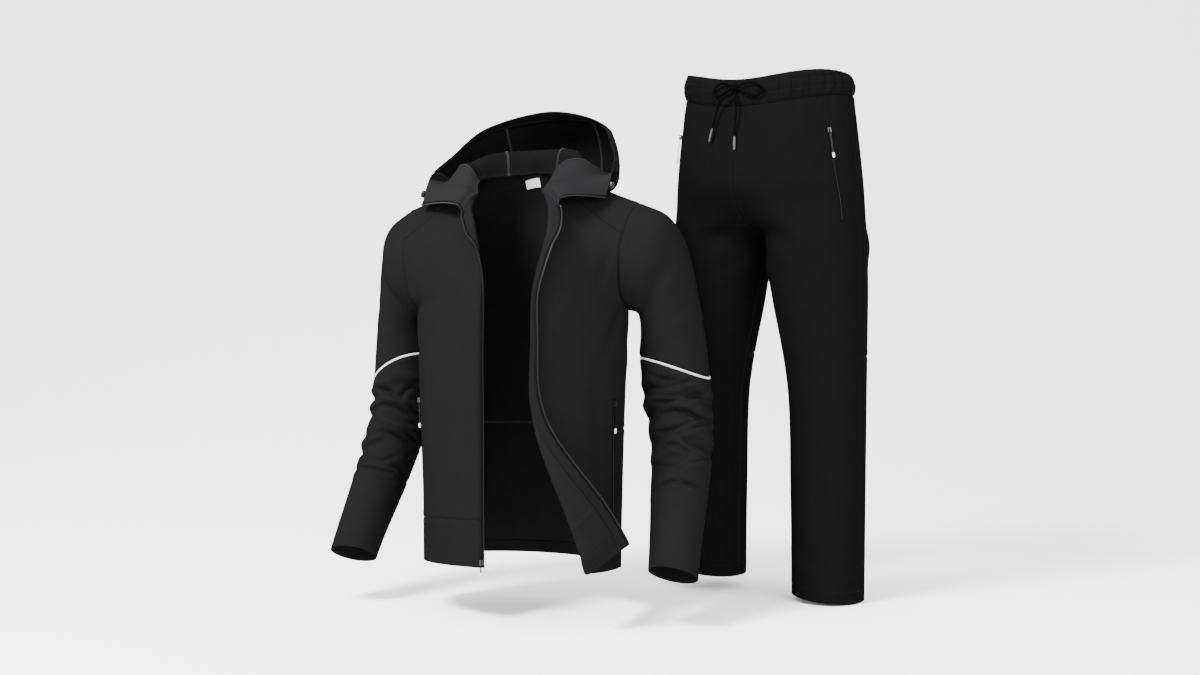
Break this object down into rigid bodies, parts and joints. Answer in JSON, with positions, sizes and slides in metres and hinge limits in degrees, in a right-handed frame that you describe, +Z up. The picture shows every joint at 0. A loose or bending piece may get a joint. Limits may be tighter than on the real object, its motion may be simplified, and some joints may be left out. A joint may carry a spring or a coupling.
{
  "type": "tracksuit",
  "caption": "Hooded zip jacket and matching straight trousers, filled out and hollow as if worn, open at neck, hem, cuffs, waist and legs, with hinged zip pull tabs.",
  "frame": {"origin": "between the jacket's shoulders, level with the highest point of the shoulder line, where a neck and shoulders hold it up", "axes": "+X to the jacket's own left, +Y to its back (the fronts face -Y), +Z up; the trousers stand behind the jacket's left sleeve, turned 15 degrees towards -X"},
  "size_m": [0.9574, 0.715, 1.0501],
  "materials": {
    "shell_cloth": "smooth matt softshell",
    "fleece_lined_cloth": "softshell with brushed fleece inside",
    "trouser_cloth": "smooth matt softshell",
    "reflective_piping": "satin reflective tape",
    "zip_tape": "woven tape",
    "zip_slider_metal": "dark plated",
    "pull_rubber": "matt",
    "white_pull_tip": "satin",
    "blank_label": "woven satin, blank",
    "drawcord": "braided",
    "drawcord_tip_metal": "satin"
  },
  "bodies": {
    "garment": {"back_lower": "shell_cloth", "back_upper": "shell_cloth", "collar_left": "shell_cloth", "collar_right": "shell_cloth", "drawcord_end_left": "drawcord", "drawcord_end_right": "drawcord", "drawcord_knot": "drawcord", "drawcord_loop_left": "drawcord", "drawcord_loop_right": "drawcord", "drawcord_tip_left": "drawcord_tip_metal", "drawcord_tip_right": "drawcord_tip_metal", "front_facing_left": "shell_cloth", "front_facing_right": "shell_cloth", "front_hem_band_left": "shell_cloth", "front_hem_band_right": "shell_cloth", "front_left": "shell_cloth", "front_right": "shell_cloth", "hood_centre": "fleece_lined_cloth", "hood_edge_casing": "shell_cloth", "hood_side_left": "fleece_lined_cloth", "hood_side_right": "fleece_lined_cloth", "hood_toggle_left": "pull_rubber", "hood_toggle_right": "pull_rubber", "main_zip_slider": "zip_slider_metal", "neck_label": "blank_label", "piping_left": "reflective_piping", "piping_right": "reflective_piping", "pocket_left_slider": "zip_slider_metal", "pocket_right_slider": "zip_slider_metal", "pocket_zip_left": "zip_tape", "pocket_zip_right": "zip_tape", "shoulder_insert_left": "shell_cloth", "shoulder_insert_right": "shell_cloth", "sleeve_lower_left": "shell_cloth", "sleeve_lower_right": "shell_cloth", "sleeve_upper_left": "shell_cloth", "sleeve_upper_right": "shell_cloth", "trouser_back_knee_left": "trouser_cloth", "trouser_back_knee_right": "trouser_cloth", "trouser_back_left": "trouser_cloth", "trouser_back_right": "trouser_cloth", "trouser_front_left": "trouser_cloth", "trouser_front_right": "trouser_cloth", "trouser_pocket_left_slider": "zip_slider_metal", "trouser_pocket_right_slider": "zip_slider_metal", "trouser_pocket_zip_left": "zip_tape", "trouser_pocket_zip_right": "zip_tape", "waistband": "trouser_cloth", "zip_left": "zip_tape", "zip_right": "zip_tape"},
    "main_zip_tab": {"main_zip_pull": "pull_rubber", "main_zip_pull_tip": "white_pull_tip"},
    "pocket_left_tab": {"pocket_left_pull": "pull_rubber", "pocket_left_pull_tip": "white_pull_tip"},
    "pocket_right_tab": {"pocket_right_pull": "pull_rubber", "pocket_right_pull_tip": "white_pull_tip"},
    "trouser_pocket_left_tab": {"trouser_pocket_left_pull": "pull_rubber", "trouser_pocket_left_pull_tip": "white_pull_tip"},
    "trouser_pocket_right_tab": {"trouser_pocket_right_pull": "pull_rubber", "trouser_pocket_right_pull_tip": "white_pull_tip"}
  },
  "joints": [
    {"name": "main_zip_tab_hinge", "type": "hinge", "parent": "garment", "child": "main_zip_tab", "pos_m": [-0.01023, -0.14045, -0.70307], "axis": [-0.999, 0.0436, 0.0005], "range_deg": [0, 110]},
    {"name": "pocket_left_tab_hinge", "type": "hinge", "parent": "garment", "child": "pocket_left_tab", "pos_m": [0.2064, -0.03388, -0.42093], "axis": [-0.0985, -0.9944, -0.0392], "range_deg": [0, 110]},
    {"name": "pocket_right_tab_hinge", "type": "hinge", "parent": "garment", "child": "pocket_right_tab", "pos_m": [-0.2005, -0.0264, -0.42102], "axis": [-0.3586, 0.933, 0.0308], "range_deg": [0, 110]},
    {"name": "trouser_pocket_left_tab_hinge", "type": "hinge", "parent": "garment", "child": "trouser_pocket_left_tab", "pos_m": [0.53524, 0.22872, 0.08861], "axis": [-0.7883, -0.6059, -0.107], "range_deg": [0, 110]},
    {"name": "trouser_pocket_right_tab_hinge", "type": "hinge", "parent": "garment", "child": "trouser_pocket_right_tab", "pos_m": [0.20886, 0.31613, 0.10344], "axis": [-0.3869, 0.9166, 0.101], "range_deg": [0, 110]}
  ]
}
